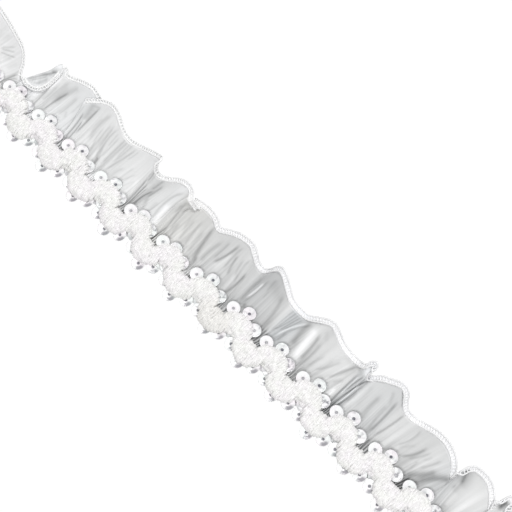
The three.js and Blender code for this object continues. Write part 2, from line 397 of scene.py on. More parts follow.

# Creases: sharper lines pressed into the ruffle, with painted shade along them. Each is a line through
# three points, its half width, and how deep it goes. A ridge that catches the light has a depth below
# zero, and a painted highlight instead. Some rows lay painted shade under the hem, or painted light
# over the shade of a fold or flap.
creases = [
    # first, middle and last point as (along, reach), half width, depth
    ((-119.5, 15.5), (-118, 17), (-117, 19), 1.4, 0.2),
    ((-115.5, 13), (-114, 14.8), (-112, 17), 0.45, 0.35),
    ((-115, 12.8), (-113, 14), (-110.3, 15.6), 0.4, 0.45),
    ((-114.2, 11.8), (-111.5, 12.9), (-108.5, 14.2), 0.35, 0.5),
    ((-112, 11), (-110.5, 12.2), (-110, 13), 1.2, 0.25),
    ((-107.5, 9), (-107, 11), (-106, 13), 1, 0.2),
    ((-105.1, 4.4), (-104.2, 7), (-103.2, 10), 0.35, 0.8),
    ((-104.2, 4.2), (-103.2, 7), (-102, 8.8), 0.35, 0.6),
    ((-104.6, 4), (-103.4, 3.2), (-101.8, 2), 0.4, 0.8),
    ((-98.8, 12), (-96.5, 16), (-93.6, 21), 0.4, 0.6),
    ((-97.8, 12), (-96, 15), (-94.4, 17.5), 0.3, 0.5),
    ((-96, 12), (-94.6, 14), (-93.6, 17), 0.3, 0.5),
    ((-94.6, 20), (-93.9, 20.8), (-93.2, 21.3), 0.6, 0.8),
    ((-97, 16.5), (-95.3, 18), (-93.6, 19.6), 0.7, 0.4),
    ((-95.6, 13.6), (-94.2, 15), (-93.2, 17), 0.4, 0.3),
    ((-99.2, 10.7), (-97, 10.8), (-94.8, 11.5), 0.3, 0.7),
    ((-99, 8.2), (-95, 8.4), (-91.5, 11), 0.9, -0.8),
    ((-90.4, 13.5), (-90, 18), (-90.4, 22), 0.5, -0.4),
    ((-90.7, 17.5), (-90.2, 12), (-89.3, 2.5), 0.4, 0.65),
    ((-89, 18), (-88.6, 13), (-89, 10), 0.8, 0.35),
    ((-87, 22), (-87.2, 15), (-86.7, 6), 0.7, 0.3),
    ((-86.2, 21), (-85.4, 16), (-84.8, 12), 1.3, 0.25),
    ((-82.3, 23), (-84, 18.5), (-85.2, 13), 1.5, 0.4),
    ((-83.9, 18.5), (-85, 13.5), (-85.5, 7), 0.45, 0.7),
    ((-80.2, 20), (-80, 15), (-80.5, 10), 0.8, 0.4),
    ((-79, 13.2), (-78.2, 12.2), (-77.6, 11), 0.4, 0.3),
    ((-77.3, 20), (-77.2, 17), (-76.8, 14), 0.5, 0.2),
    ((-76.3, 20), (-74.8, 14), (-73.8, 7), 0.5, 0.35),
    ((-73.4, 21.6), (-72.5, 19), (-71.7, 15.5), 1.6, 0.5),
    ((-74, 17), (-72.6, 12), (-71.7, 5.5), 0.35, 0.8),
    ((-71.9, 14.6), (-71.1, 11), (-70.4, 6), 0.3, 0.9),
    ((-71.2, 22.4), (-70.8, 17), (-70.2, 10), 0.45, 0.8),
    ((-74.6, 21.2), (-72.6, 22.4), (-70.8, 22.8), 0.6, 0.45),
    ((-67.4, 21), (-67.2, 17), (-66.4, 14), 0.4, 0.25),
    ((-66.2, 24), (-66.3, 18), (-64.8, 11.5), 0.8, 0.4),
    ((-64.4, 18.5), (-63, 13), (-61, 9), 0.4, 0.35),
    ((-63, 21), (-62.7, 17), (-61.4, 13), 0.4, 0.25),
    ((-62, 22), (-60.2, 14), (-57, 8), 0.5, 0.45),
    ((-60.2, 22), (-60, 16), (-57.4, 10), 0.45, 0.4),
    ((-58.8, 21), (-58.4, 18), (-58, 15), 0.35, 0.25),
    ((-57.4, 20), (-57, 15), (-56.7, 10), 0.4, 0.3),
    ((-57.4, 9.5), (-57, 8), (-56.8, 6), 0.7, 0.8),
    ((-55.2, 21.5), (-55, 15), (-54.7, 9), 0.45, 0.4),
    ((-54, 21.5), (-54, 14), (-53.7, 4.5), 0.5, 0.4),
    ((-52.8, 21.5), (-52.7, 18), (-52.5, 14), 0.35, 0.3),
    ((-51.9, 22), (-51.8, 17), (-52.4, 12), 0.35, 0.3),
    ((-49.7, 21), (-50.7, 14.5), (-52, 8), 0.45, 0.4),
    ((-48.3, 21.5), (-48.6, 19), (-49.2, 16.5), 0.35, 0.25),
    ((-47.6, 13), (-48.6, 10.5), (-48.6, 7), 0.6, 0.3),
    ((-45, 15.8), (-45.6, 12.5), (-45.8, 9), 0.4, 0.3),
    ((-42.7, 14.5), (-43.8, 12), (-45, 9), 0.4, 0.25),
    ((-41.5, 12), (-42.3, 10), (-43, 8.5), 0.3, 0.2),
    ((-41, 14), (-39.5, 10.5), (-38.6, 7), 0.8, -0.3),
    ((-55.3, 5.2), (-55.3, 3.5), (-55.4, 2), 0.25, 0.7),
    ((-38.8, 20), (-38.2, 18.5), (-37.9, 16), 0.3, 0.6),
    ((-38.5, 16), (-37.7, 10), (-37.4, 2), 0.25, 0.7),
    ((-37, 15), (-36.8, 9), (-36.3, 2), 0.25, 0.9),
    ((-36, 14), (-36.2, 9), (-36.2, 3), 0.2, 0.7),
    ((-33.7, 14.6), (-35, 10.5), (-34.9, 6), 0.3, 0.9),
    ((-32.5, 18.5), (-33, 15), (-33.6, 12), 0.45, 0.6),
    ((-33.7, 20.5), (-34.2, 17), (-34.4, 15), 0.45, 0.5),
    ((-33.4, 12), (-32.4, 9.5), (-31.4, 7), 0.7, 0.35),
    ((-29.8, 13), (-29.4, 11), (-29.4, 8.5), 1, 0.2),
    ((-25.4, 22), (-27.4, 16), (-26.6, 7), 0.6, 0.5),
    ((-25.9, 15), (-25.5, 11), (-24.5, 6), 0.9, -0.75),
    ((-24, 18), (-23.5, 12), (-23.2, 7), 0.5, 0.3),
    ((-22.7, 18.5), (-22.4, 17), (-22.1, 15), 0.35, 0.25),
    ((-22, 20), (-21, 13), (-19.7, 6.5), 0.35, 0.5),
    ((-20.1, 20), (-19.7, 14), (-19, 9.5), 0.45, 0.4),
    ((-20.4, 9), (-20.8, 4.5), (-21.4, 1), 0.3, 0.8),
    ((-18, 13), (-17.3, 8.5), (-15.2, 3.8), 0.45, 0.35),
    ((-16.8, 18), (-16.2, 15), (-15.4, 12), 0.5, 0.2),
    ((-15, 18), (-14.6, 13), (-13.8, 8.5), 0.45, 0.4),
    ((-13, 19.5), (-12.2, 14), (-11.4, 9), 0.45, 0.35),
    ((-16.2, 14), (-15.7, 10), (-14.8, 7), 0.4, -0.2),
    ((-11.8, 17.5), (-10.8, 13), (-10, 9.5), 0.5, -0.25),
    ((-9.8, 17), (-9.1, 12), (-8.5, 8), 0.6, 0.35),
    ((-8.2, 21), (-6.7, 13), (-4.8, 7), 0.7, 0.7),
    ((-4.6, 9), (-4.3, 5.5), (-4, 2), 0.5, 0.7),
    ((-2.3, 19.5), (-3.2, 13), (-2.8, 9), 0.8, 0.45),
    ((-0.2, 21), (-0.2, 17), (-0.3, 13), 0.5, 0.4),
    ((2.9, 22.5), (2.2, 17), (0.7, 12), 0.55, 0.8),
    ((3.3, 18.5), (2.8, 15), (2.3, 10), 0.6, -0.25),
    ((4.4, 23), (4.2, 18), (4.9, 13), 0.45, 0.45),
    ((5.3, 19.5), (6, 16), (7.4, 12.2), 0.45, 0.65),
    ((7.8, 19.5), (8.5, 16.5), (9.6, 13.8), 0.4, 0.35),
    ((9.4, 21.5), (9.5, 17.5), (11, 12), 0.4, 0.45),
    ((12, 17), (12.2, 12), (11.5, 6.5), 0.55, 0.75),
    ((13.4, 4.5), (13.2, 3.5), (13, 2.5), 0.35, 0.5),
    ((14.5, 4.5), (14.5, 3.5), (14.5, 2.5), 0.25, 0.7),
    ((17.4, 21), (17, 14), (17.4, 8.5), 0.6, 0.5),
    ((18.8, 19), (18.7, 15.5), (18.2, 11.5), 0.3, -1.2),
    ((19.4, 21), (19.2, 15), (18.6, 9.5), 0.35, 0.6),
    ((19.3, 9.3), (19.6, 8.6), (20.2, 7.6), 0.7, 0.7),
    ((21.2, 23), (21.2, 21), (21.5, 18), 0.35, 0.35),
    ((22.2, 18.5), (22.2, 17), (22.4, 15), 0.3, 0.25),
    ((26.8, 21), (28.8, 14), (29.3, 7), 0.7, 0.5),
    ((31, 20.5), (31.1, 16), (31.3, 11), 1, -0.12),
    ((33.3, 20), (32.8, 15), (32.4, 9), 0.3, 0.45),
    ((34.5, 20), (33.7, 15), (32.6, 8), 0.28, 0.5),
    ((35.6, 20), (34.6, 15), (33, 10), 0.28, 0.5),
    ((36.6, 19.6), (35.4, 15), (34.4, 11), 0.28, 0.5),
    ((37.7, 19.5), (36.6, 16), (35.2, 12), 0.28, 0.5),
    ((40.2, 20.2), (36.8, 14.8), (35, 9), 0.3, -0.7),
    ((41.2, 20.2), (38, 15.3), (36.3, 11), 0.35, 0.4),
    ((36.8, 12), (36.6, 10), (36.5, 8), 0.5, 0.4),
    ((40.5, 21.3), (40.2, 16), (41.2, 10.5), 1, 0.65),
    ((43.3, 20.5), (43.8, 15), (44.9, 7.5), 1.1, -1.1),
    ((45.7, 20), (46.5, 14.5), (46.6, 9), 0.65, 0.7),
    ((48, 18.5), (48.4, 12), (47.6, 6.5), 0.7, 0.45),
    ((52, 15.5), (51, 12.5), (50.3, 9), 0.5, 0.25),
    ((55, 17), (54.6, 13.5), (53, 10), 0.5, 0.25),
    ((57.6, 18.5), (55.8, 14.5), (53.4, 10.5), 0.45, 0.3),
    ((62.6, 21.5), (60.2, 16.5), (57.9, 11), 0.55, 0.6),
    ((61.5, 16), (60, 13.3), (58.7, 11.5), 0.4, -0.2),
    ((62.6, 14.5), (61.5, 13), (60.3, 11.5), 0.7, 0.25),
    ((62.3, 10), (62.3, 8.5), (62.4, 7), 0.7, -0.9),
    ((64.5, 19.5), (64.2, 12), (64.3, 4), 0.35, 0.8),
    ((66.4, 20), (65.8, 17), (65.2, 12), 0.3, 0.8),
    ((68.2, 20.2), (66.4, 13), (65.2, 2.5), 0.3, 1),
    ((68.2, 17.5), (67.6, 11), (66.2, 4), 0.3, 0.7),
    ((65.2, 19), (65.1, 15), (64.8, 9), 0.22, -0.8),
    ((67.2, 17), (66.9, 11), (66.1, 6), 0.22, -0.9),
    ((68.4, 15), (68.4, 12.5), (68, 10), 0.5, 0.4),
    ((68.8, 21.5), (68.6, 19), (68.5, 16), 0.4, 0.3),
    ((75.2, 19.5), (75, 14), (75.8, 9.5), 0.9, 0.45),
    ((79, 19), (79, 13.5), (80.5, 7), 0.6, 0.35),
    ((80.6, 22), (80.9, 15), (80.6, 8), 0.6, 0.75),
    ((79.4, 26.4), (81, 24.6), (82.8, 22.4), 0.4, 0.6),
    ((85.3, 20.8), (84.4, 15), (82.9, 8.5), 0.45, 0.6),
    ((92.9, 21), (92.5, 16.5), (90.4, 11.5), 0.4, 0.45),
    ((90.3, 9.3), (90, 8.3), (89.6, 7), 0.6, 0.7),
    ((95, 16), (93, 13.5), (90.8, 11), 0.5, 0.2),
    ((98.2, 17.7), (96.6, 13.5), (93.8, 9.8), 0.5, 0.65),
    ((100.2, 17.6), (98.2, 13.8), (96.3, 11.3), 0.45, 0.4),
    ((101.6, 17), (101, 15.6), (100, 14.3), 0.4, 0.25),
    ((99, 12.7), (99, 11), (98.8, 9), 0.35, 0.35),
    ((104.6, 18.3), (102.8, 14.5), (101, 11.5), 0.5, 0.4),
    ((110.6, 15.9), (107, 12.7), (103.4, 7.5), 1.2, 0.85),
    ((106, 14.5), (103, 10.5), (99.2, 6.3), 1.2, 0.8),
    ((98.9, 6.6), (98.6, 6), (98.4, 5), 0.8, 0.7),
    ((112.6, 23.2), (113.4, 20.5), (114.2, 17.8), 0.55, 0.8),
    ((113.8, 23), (114.8, 20.5), (114.8, 16.5), 1.8, 0.38),
    ((113.2, 21), (114, 17), (114.5, 13.5), 1.8, 0.3),
    ((113, 15.8), (113.1, 15.3), (113, 14.8), 0.4, 0.4),
    ((115, 9), (115.2, 7), (114.8, 5), 0.8, 0.4),
    ((30.3, 8), (30.3, 5), (30.2, 2.2), 0.25, 0.8),
    ((31.4, 8.5), (31.3, 5), (31.2, 2.2), 0.3, 0.9),
    ((32.6, 8), (32.4, 5), (32.2, 2.2), 0.25, 0.8),
    ((29.3, 8), (29.2, 7), (29.2, 6), 0.35, 0.5),
    ((47.1, 4), (47, 3), (46.9, 2), 0.25, 0.6),
    ((48.3, 5.5), (48.3, 4), (48.2, 2), 0.25, 0.8),
    ((49.4, 4.5), (49.4, 3.3), (49.4, 2), 0.3, 0.9),
    ((50.3, 3.3), (50.4, 2.8), (50.5, 2), 0.25, 0.7),
    ((81.6, 6), (81.4, 5), (81.3, 3.5), 0.3, 0.6),
    ((82.6, 6.5), (82.4, 4.5), (82.2, 2.2), 0.3, 0.9),
    ((83.6, 5), (83.5, 3.7), (83.4, 2.2), 0.3, 0.9),
    ((84.4, 3.2), (84.5, 2.7), (84.6, 2.2), 0.25, 0.6),
    ((98.5, 3.5), (98.3, 2.6), (98, 1.6), 0.3, 0.9),
    ((100.8, 6.5), (100, 4), (99.2, 1.6), 0.35, 1),
    ((100.6, 3.4), (100.5, 2.6), (100.6, 1.6), 0.3, 0.9),
    ((-1.5, 2.8), (-1.3, 2.2), (-1.1, 1.6), 0.4, 0.8),
    ((-2.5, 2.6), (-2.4, 2.1), (-2.3, 1.5), 0.3, 0.8),
    ((-72.2, 6.5), (-71.9, 4), (-72.3, 1.8), 0.3, 0.7),
    ((-71.4, 7), (-71.1, 4.5), (-70.3, 1.6), 0.35, 0.9),
    ((-69.5, 2.8), (-69.4, 2.3), (-69.3, 1.6), 0.3, 0.9),
    ((-86, 3.6), (-86, 2.8), (-86, 1.8), 0.35, 0.9),
    ((-89, 3), (-89.1, 2.5), (-89.2, 2), 0.35, 0.6),
    ((64.8, 24.6), (65.8, 23), (67.2, 21.2), 1.2, -1.2),
    ((61.2, 21.7), (63, 21.4), (65, 20.5), 0.5, 0.4),
    ((-19.9, 18.6), (-18.6, 20.2), (-16.6, 21.8), 0.5, -0.4),
    ((-100, 9.4), (-96.4, 9), (-92.4, 11), 0.5, -1.1),
    ((-91.8, 12), (-90.4, 16), (-90.8, 21), 0.5, -0.9),
    ((-94.8, 22.4), (-94.2, 23.4), (-93.2, 24.2), 0.9, -0.8),
    ((19.8, 22), (24, 20.5), (28, 18.5), 2.2, 0.25),
    ((128.4, 20.5), (128.7, 22.5), (128.9, 24.2), 0.9, 1.3),
    ((104.5, 7.5), (102, 5.8), (99.6, 3.5), 1.1, 0.8),
    ((70.9, 20.5), (71.3, 16), (71.5, 11), 0.8, 0.2),
    ((77.2, 24), (78.2, 22), (79.2, 19.5), 0.6, 0.3),
    ((46.2, 22.5), (47.5, 21.5), (48.5, 19.5), 1, 0.2),
    ((57.5, 21), (59.5, 20.5), (62, 20.8), 1, 0.15),
]

# How light each stretch of the ruffle looks, painted as its folds turn the satin's sheen to or from
# the light, and its cast, the tint painted with that sheen and shade: above 0 a cool blue, below 0 a
# warm beige.
stretches = [
    # along, lightness, cast
    (-136, 1.15, 0), (-110, 1.15, 0), (-102, 1.1, 0), (-99, 1.0, 0.1), (-94, 0.95, 0.2),
    (-92, 1.0, 0.1), (-90, 1.0, 0), (-82, 1.1, 0.1), (-75, 1.0, 0.2), (-68, 1.06, 0), (-55, 0.9, 0),
    (-45, 1.12, 0), (-40, 1.05, 0), (-37, 0.79, 0), (-32, 0.9, 0), (-26, 1.15, 0.1),
    (-22, 0.78, -0.3), (-16, 0.88, -0.3), (-8, 0.86, -0.15), (0, 0.88, 0), (8, 0.89, 0),
    (14, 0.84, 0), (18, 0.77, 0.15), (24, 0.73, 0.1), (29, 0.8, 0), (31.5, 0.95, 0), (34, 0.72, 0.5),
    (38, 0.8, 0.4), (41, 0.82, 0), (44, 1.02, 0), (47, 0.88, 0), (52, 0.92, 0), (60, 0.96, 0),
    (63.6, 0.93, 0), (65, 0.75, 0.3), (67.5, 0.75, 0.3), (69, 0.93, 0.1), (73, 0.93, 0.1),
    (78, 0.9, 0.15), (81, 0.8, 0.15), (83.5, 0.97, 0), (88, 0.85, 0), (92, 0.86, 0), (102, 0.93, 0),
    (108, 0.85, 0.2), (112, 0.82, 0.2), (115, 0.96, 0), (124, 0.94, 0), (136, 1.0, 0),
]
stretch_along, stretch_light, stretch_cast = np.array(stretches).T

# How much painted shade darkens the cloth where it comes out of the gap between two lobes.
gap_shade = [0.2, 0.4, 0.1, 0.6, 0.1, 0.75, 0.6, 0.3, 0.25, 0.7, 0.5, 0.9, 0.65, 1, 0.5, 0.5]

# The creases' places are those that the camera sees against a plane at this height.
ruled_height = 4.0
crease_height = 0.35
deepest_dip = 1.2
crease_shade = 0.6
ridge_light = 0.45


def seen_place(points):
    """Where the camera sees points of the cloth against the ruled plane, as (along, reach)."""
    eye = np.array(camera.location) / mm - [0, braid_line, 0]
    share = (eye[2] - ruled_height) / (eye[2] - points[..., 2:])
    return (eye + (points - eye) * share)[..., :2]


def press_creases(creases):
    """Adds each crease to the cloth's height, and its painted shade or highlight to the tone, by its
    distance from the crease's line.
    """
    seen = seen_place(cloth)
    dip = np.zeros(seen.shape[:2])
    for first, middle, last, half_width, depth in creases:
        first, middle, last = (np.array(point, float) for point in (first, middle, last))
        t = np.linspace(0, 1, 13)[:, None]
        guide_point = 2 * middle - (first + last) / 2
        path = (1 - t) ** 2 * first + 2 * t * (1 - t) * guide_point + t**2 * last
        low, high = path.min(axis=0) - 2.5 * half_width, path.max(axis=0) + 2.5 * half_width
        near = ((seen > low) & (seen < high)).all(axis=2)
        spots = seen[near]
        if not len(spots):
            continue
        best = np.full(len(spots), 1e9)
        along_path = np.zeros(len(spots))
        for k in range(len(path) - 1):
            run = path[k + 1] - path[k]
            share = np.clip(((spots - path[k]) @ run) / (run @ run), 0, 1)
            distance = np.linalg.norm(spots - path[k] - share[:, None] * run, axis=1)
            closer = distance < best
            best[closer] = distance[closer]
            along_path[closer] = (k + share[closer]) / (len(path) - 1)
        fade = np.clip(np.minimum(along_path, 1 - along_path) / 0.18 + 0.3, 0, 1)
        strength = depth * fade * np.exp(-((best / half_width) ** 2))
        dip[near] += strength * min(1, 0.8 / half_width)
        tone[near] *= 1 - crease_shade * np.maximum(strength, 0)
        tone[near] += ridge_light * np.maximum(-strength, 0)
    cloth[:, :, 2] -= crease_height * np.clip(dip, -deepest_dip, deepest_dip)


seen = seen_place(cloth)
tone *= np.interp(seen[..., 0], stretch_along, stretch_light)
cast = np.interp(seen[..., 0], stretch_along, stretch_cast)
# Over the right half, painted shade darkens the satin toward the gathers.
right_half = np.clip((seen[..., 0] + 10) / 15, 0, 1)
tone *= 1 - 0.22 * right_half * np.exp(-((np.maximum(out - 2, 0) / 7) ** 2))
# In each gap, painted shade darkens a funnel of cloth and a line at its foot, where the cloth goes
# under the braid, most between the pleats. Painted light brightens the mouth of the lighter gaps.
for gap, shade in zip(gaps, gap_shade):
    from_gap = cloth[:, :, 0] - gap
    beside = from_gap / (1.5 + 0.12 * out)
    funnel_shade = shade * np.exp(-(beside**2)) * np.exp(-np.maximum(out - 0.5, 0) / 3.6)
    waist_shade_line = (0.35 + 0.5 * shade) * np.exp(-((from_gap / 2) ** 4)) * np.exp(-((out / 0.55) ** 2))
    between_pleats = 0.25 + 0.9 * (1 - fine_pleat)
    tone *= 1 - np.clip(1.1 * funnel_shade * between_pleats, 0, 0.97)
    tone *= 1 - waist_shade_line * between_pleats
    light_mouth = np.exp(-((from_gap / gap_half_width) ** 4)) * np.exp(-((out / 2.2) ** 2))
    tone *= 1 + 0.6 * (1 - shade) * light_mouth
press_creases(creases)
cloth[:, :, 2] = np.maximum(cloth[:, :, 2], lowest_lift)
header = cloth[0].copy()
header[:, 1] = raw_edge_reach
cloth = np.concatenate([header[None], cloth])
tone = np.concatenate([tone[:1], tone])
cast = np.concatenate([cast[:1], cast])
share_of_width = np.concatenate([[0], 0.09 + 0.91 * row_share])


def left_share(along):
    """1 along the left of the trim, where the hem is sewn closer, and 0 right of its middle."""
    return np.clip(-(along + 20) / 20, 0, 1)


# Painted light makes the cloth light under the hem's overcasting, against the shade between the
# threads. On the left, a line of painted shade in it shows between them as dots.
to_edge = np.linalg.norm(cloth - cloth[-1], axis=2)
right_side = 1 - left_share(cloth[-1][:, 0])[None, :]
under_hem = np.clip((hem_width + 0.3 * right_side - to_edge) / 0.5, 0, 1)
dot_shade = (1 - right_side) * np.exp(-(((to_edge - 0.75) / 0.4) ** 2))
tone = tone * (1 - under_hem) + under_hem * (1.3 + 0.1 * right_side - 0.6 * dot_shade)
tone = np.clip(tone, 0.03, brightest_tone)

sheet_shape = bmesh.new()
bmesh.ops.create_grid(sheet_shape, x_segments=cloth_columns, y_segments=cloth_rows, size=0.5)
sheet_data = finished_mesh("ruffle_satin", sheet_shape)
flat_place = np.empty(len(sheet_data.vertices) * 3)
sheet_data.vertices.foreach_get("co", flat_place)
flat_place = flat_place.reshape(-1, 3)
column = np.round((flat_place[:, 0] + 0.5) * cloth_columns).astype(int)
row = np.round((flat_place[:, 1] + 0.5) * cloth_rows).astype(int)
in_place = cloth[row, column] + [0, braid_line, 0]
sheet_data.vertices.foreach_set("co", (in_place * mm).ravel())


def note(data, name, values):
    """Notes a value at each point of a mesh, for its material to read."""
    kept = data.attributes.get(name) or data.attributes.new(name, "FLOAT", "POINT")
    kept.data.foreach_set("value", values)


note(sheet_data, "tone", tone[row, column] / brightest_tone)
note(sheet_data, "cast", cast[row, column] * 0.5 + 0.5)
# The weave's map lies flat, in units of 100 mm.
corner = np.empty(len(sheet_data.loops), int)
sheet_data.loops.foreach_get("vertex_index", corner)
weave_along = column_run[column[corner]]
weave_across = share_of_width[row[corner]] * cut_width
weave_place = np.stack([weave_along, weave_across], axis=1) / 100
sheet_data.uv_layers.new(name="weave").data.foreach_set("uv", weave_place.ravel())
sheet_data.shade_smooth()
ruffle = put_in_scene("ruffle_satin", sheet_data)
thickness = ruffle.modifiers.new("thickness", "SOLIDIFY")
thickness.thickness = cloth_thickness * mm
thickness.offset = 0


def colour_stops(nodes, *stops):
    """A colour ramp through stops, each a position and a colour."""
    ramp = nodes.new("ShaderNodeValToRGB")
    elements = ramp.color_ramp.elements
    for element, (position, colour) in zip(elements, (stops[0], stops[-1])):
        element.position = position
        element.color = (*colour, 1)
    for position, colour in stops[1:-1]:
        elements.new(position).color = (*colour, 1)
    return ramp


def mixed_colours(nodes, blend="MIX"):
    """A node that mixes the colours A and B, in full unless its factor is linked."""
    mix = nodes.new("ShaderNodeMix")
    mix.data_type = "RGBA"
    mix.blend_type = blend
    set_inputs(mix, {"Factor": 1})
    return mix


def roughen(shader, nodes, links, height, strength, distance):
    """A bump on a shader's surface, from a height."""
    bump = nodes.new("ShaderNodeBump")
    set_inputs(bump, {"Strength": strength, "Distance": distance})
    links.new(height, bump.inputs["Height"])
    links.new(bump.outputs["Normal"], shader.inputs["Normal"])


def noted(nodes, name):
    """What a piece's mesh notes at each point, such as its tone."""
    reader = nodes.new("ShaderNodeAttribute")
    reader.attribute_name = name
    return reader.outputs["Fac"]


satin, nodes, links, shader = new_finish(
    "white_satin", {"Roughness": 0.42, "Specular IOR Level": 0.6}
)
# The satin's colour follows its noted tone and cast: the painted light, shade and tint laid on the
# cloth.
tone_colours = colour_stops(
    nodes,
    (0, (0.02, 0.022, 0.023)),
    (1 / brightest_tone, (0.74, 0.745, 0.745)),
    (1, (0.95, 0.95, 0.96)),
)
casts = colour_stops(nodes, (0, (1, 0.975, 0.91)), (0.5, (1, 1, 1)), (1, (0.92, 0.96, 1)))
tinted = mixed_colours(nodes, "MULTIPLY")
links.new(noted(nodes, "tone"), tone_colours.inputs["Fac"])
links.new(noted(nodes, "cast"), casts.inputs["Fac"])
links.new(tone_colours.outputs["Color"], tinted.inputs["A"])
links.new(casts.outputs["Color"], tinted.inputs["B"])
links.new(tinted.outputs["Result"], shader.inputs["Base Color"])
# Fine wrinkles run across the ribbon, from the gathers to the hem.
weave_uv = nodes.new("ShaderNodeUVMap")
weave_uv.uv_map = "weave"
stretch = nodes.new("ShaderNodeMapping")
set_inputs(stretch, {"Scale": (90, 7, 1)})
wrinkles = nodes.new("ShaderNodeTexNoise")
set_inputs(wrinkles, {"Scale": 1, "Detail": 3})
links.new(weave_uv.outputs["UV"], stretch.inputs["Vector"])
links.new(stretch.outputs["Vector"], wrinkles.inputs["Vector"])
roughen(shader, nodes, links, wrinkles.outputs["Fac"], 0.25, 0.0004)
ruffle.data.materials.append(satin)
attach(ruffle, "root")
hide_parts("ruffle")


# The hem. Overcasting thread wraps the ribbon's free edge: a rung over the edge at every stitch,
# and a chain of thread along both ends of the rungs.
stitch_pitch = 1.2
thread_radius = 0.2
chain_step = 0.3
outer_chain_inset = 0.24
inner_chain_inset = hem_width - 0.4
rung_end_inset = 0.55
hem_top = cloth[-1]


def unit(ways):
    """The same ways, each of length 1."""
    return ways / np.linalg.norm(ways, axis=1)[:, None]


forward = unit(np.gradient(hem_top, axis=0))
inward = cloth[-4] - cloth[-1]
inward -= forward * (inward * forward).sum(axis=1)[:, None]
for k in range(3):
    inward[:, k] = np.convolve(np.pad(inward[:, k], 6, mode="edge"), np.ones(13) / 13, mode="valid")
inward = unit(inward)
upward = unit(np.cross(forward, -inward))
hem_run = run_at(step_lengths(hem_top))


def beside_hem(run, inset, lift):
    """The place on the hem at a distance along it, an inset from its edge and a lift off it."""
    def pick(values):
        return np.array([np.interp(run, hem_run, values[:, k]) for k in range(3)]).T
    inset, lift = np.reshape(inset, (-1, 1)), np.reshape(lift, (-1, 1))
    return pick(hem_top) + pick(inward) * inset + pick(upward) * lift + [0, braid_line, 0]


def thread_piece(name, radius, sides):
    """A curve that holds many lengths of round thread."""
    curve = bpy.data.curves.new(name, "CURVE")
    curve.dimensions = "3D"
    curve.bevel_depth = radius * mm
    curve.bevel_resolution = sides
    curve.use_fill_caps = True
    return curve


def lay_thread(curve, points, closed=False, thickness=None):
    """Adds one length of thread through points in mm."""
    spline = curve.splines.new("POLY")
    spline.points.add(len(points) - 1)
    spline.points.foreach_set("co", np.hstack([points * mm, np.ones((len(points), 1))]).ravel())
    if thickness is not None:
        spline.points.foreach_set("radius", thickness)
    spline.use_cyclic_u = closed
    spline.use_smooth = True


def finish_curve(curve, material):
    """Turns the laid threads into one mesh object."""
    holder = put_in_scene(curve.name, curve)
    bpy.context.view_layer.update()
    data = bpy.data.meshes.new_from_object(holder.evaluated_get(bpy.context.evaluated_depsgraph_get()))
    bpy.data.objects.remove(holder)
    data.materials.clear()
    data.materials.append(material)
    data.name = curve.name
    return put_in_scene(curve.name, data)


hem_curve = thread_piece("hem_overcast_thread", thread_radius, 0)
turn = np.radians([90, 30, -30, -90, -90, -150, 150, 90])
outer_end = np.array([1, 1, 1, 1, -1, -1, -1, -1])
for k in range(int(hem_run[-1] / stitch_pitch)):
    middle = (k + 0.5) * stitch_pitch + chance.normal(0, 0.05)
    middle_along = np.interp(middle, hem_run, hem_top[:, 0])
    closer = left_share(middle_along)
    half = (hem_width - 0.5 * closer) / 2
    end_inset = rung_end_inset - 0.15 * closer
    ring = beside_hem(
        middle - 0.1 * outer_end,
        half - (half - end_inset) * outer_end - 0.2 * np.cos(turn),
        0.06 * np.sin(turn),
    )
    # The rungs are thinner right of the middle, where the ruffle is darkest and they sink into it.
    sunk = math.exp(-(((middle_along - 40) / 24) ** 4))
    rung_swell = 1.25 + 0.1 * closer - 0.4 * sunk
    lay_thread(hem_curve, ring, closed=True, thickness=np.full(8, rung_swell))
chain_run = np.arange(0, hem_run[-1], chain_step)
stitch_wave = 2 * math.pi * chain_run / stitch_pitch
closer = left_share(np.interp(chain_run, hem_run, hem_top[:, 0]))
# Along the left half the outer chain is thinner, and the inner one thicker and closer to it.
for inset, lift, shift, growth in (
    (outer_chain_inset, 0.1, 0.04, -0.5),
    (inner_chain_inset, 0.14, 0.5, 0.5),
):
    chain_inset = inset + 0.06 * np.sin(stitch_wave) - shift * closer
    chain_lift = lift - 0.12 * closer * inset
    swell = 1.6 + growth * closer + 0.15 * np.cos(stitch_wave)
    lay_thread(hem_curve, beside_hem(chain_run, chain_inset, chain_lift), thickness=swell)


def ranged(nodes, links, value, given, wanted=(0, 1)):
    """A value brought from its given range to the wanted one, and held within it."""
    node = nodes.new("ShaderNodeMapRange")
    ends = ("From Min", "From Max", "To Min", "To Max")
    set_inputs(node, dict(zip(ends, (*given, *wanted))))
    links.new(value, node.inputs["Value"])
    return node.outputs["Result"]


